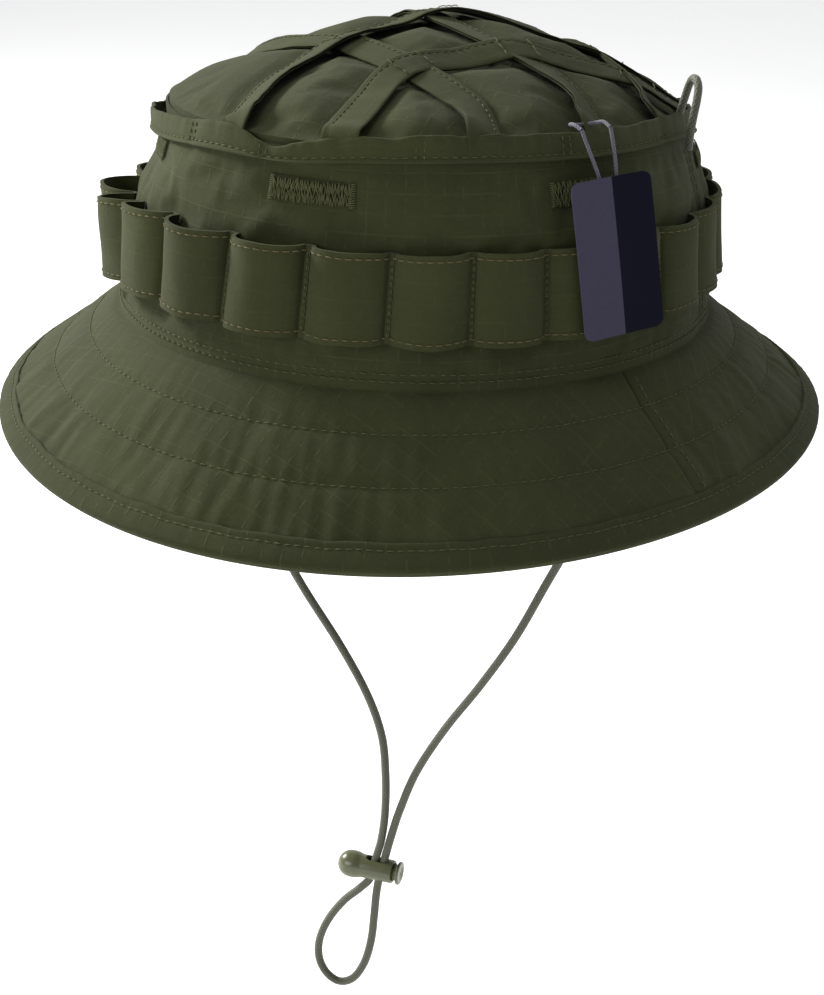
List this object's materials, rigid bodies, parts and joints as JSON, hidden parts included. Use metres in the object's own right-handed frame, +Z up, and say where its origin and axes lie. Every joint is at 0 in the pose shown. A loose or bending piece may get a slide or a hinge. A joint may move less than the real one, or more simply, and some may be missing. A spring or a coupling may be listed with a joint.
{
  "type": "boonie hat",
  "caption": "Soft short-brimmed boonie hat with foliage loops, a net of straps on the crown, chin cord with cord lock, hanging loop and blank hang tag.",
  "frame": {"origin": "centre of the head opening, in the plane of the seam between crown and brim", "axes": "+Z up through the crown, -Y the way the wearer faces, +X the wearer's left"},
  "size_m": [0.255, 0.2752, 0.3387],
  "materials": {
    "cloth": "ripstop cotton blend, matt, olive drab",
    "trim": "the same cloth folded into tape, topstitched",
    "lining": "plain weave tape, matt",
    "interlining": "stiff non-woven",
    "label": "satin tape, blank",
    "cord": "braided polyester, dull sheen",
    "lock": "moulded acetal, semi-gloss",
    "spring": "drawn wire",
    "card": "coated card in two dark tones, blank",
    "string": "thin twisted string"
  },
  "bodies": {
    "hat": {"crown_side_front": "cloth", "crown_side_back": "cloth", "crown_tip": "cloth", "top_band": "trim", "sweatband": "lining", "care_label": "label", "strap_upper_outer": "trim", "strap_upper_inner": "trim", "strap_lower_front": "trim", "strap_lower_middle": "trim", "strap_lower_rear": "trim", "brim_upper_front_right": "cloth", "brim_upper_back_left": "cloth", "brim_lower_front_right": "cloth", "brim_lower_back_left": "cloth", "brim_interlining": "interlining", "brim_binding": "trim", "foliage_loop_01": "cloth", "foliage_loop_02": "cloth", "foliage_loop_03": "cloth", "foliage_loop_04": "cloth", "foliage_loop_05": "cloth", "foliage_loop_06": "cloth", "foliage_loop_07": "cloth", "foliage_loop_08": "cloth", "foliage_loop_09": "cloth", "foliage_loop_10": "cloth", "foliage_loop_11": "cloth", "foliage_loop_12": "cloth", "foliage_loop_13": "cloth", "foliage_loop_14": "cloth", "foliage_loop_15": "cloth", "foliage_loop_16": "cloth", "foliage_loop_17": "cloth", "foliage_loop_18": "cloth", "foliage_loop_19": "cloth", "foliage_loop_20": "cloth", "foliage_loop_21": "cloth", "foliage_loop_22": "cloth", "foliage_loop_23": "cloth", "foliage_loop_24": "cloth", "cord_tab_left": "lining", "cord_tab_right": "lining", "hang_loop": "cord", "tag_tie": "string"},
    "hang_tag": {"tag_card": "card", "tag_string": "string"},
    "chin_cord": {"chin_cord": "cord"},
    "cord_lock": {"lock_body": "lock", "lock_spring": "spring"},
    "lock_plunger": {"lock_plunger": "lock"}
  },
  "joints": [
    {"name": "hang_tag_swing", "type": "hinge", "parent": "hat", "child": "hang_tag", "pos_m": [0.0662, -0.05305, 0.0668], "axis": [-0.5878, -0.809, 0], "range_deg": [0, 95]},
    {"name": "chin_cord_swing", "type": "hinge", "parent": "hat", "child": "chin_cord", "pos_m": [0, -0.004, -0.0026], "axis": [1, 0, 0], "range_deg": [-60, 60]},
    {"name": "cord_lock_slide", "type": "slide", "parent": "chin_cord", "child": "cord_lock", "axis": [0.2079, 0, 0.9781], "range_m": [0, 0.008]},
    {"name": "lock_plunger_press", "type": "slide", "parent": "cord_lock", "child": "lock_plunger", "axis": [-1, 0, 0], "range_m": [0, 0.0015], "stiffness_N_per_m": 150, "springref_m": -0.004, "deforming": ["lock_spring"]}
  ]
}
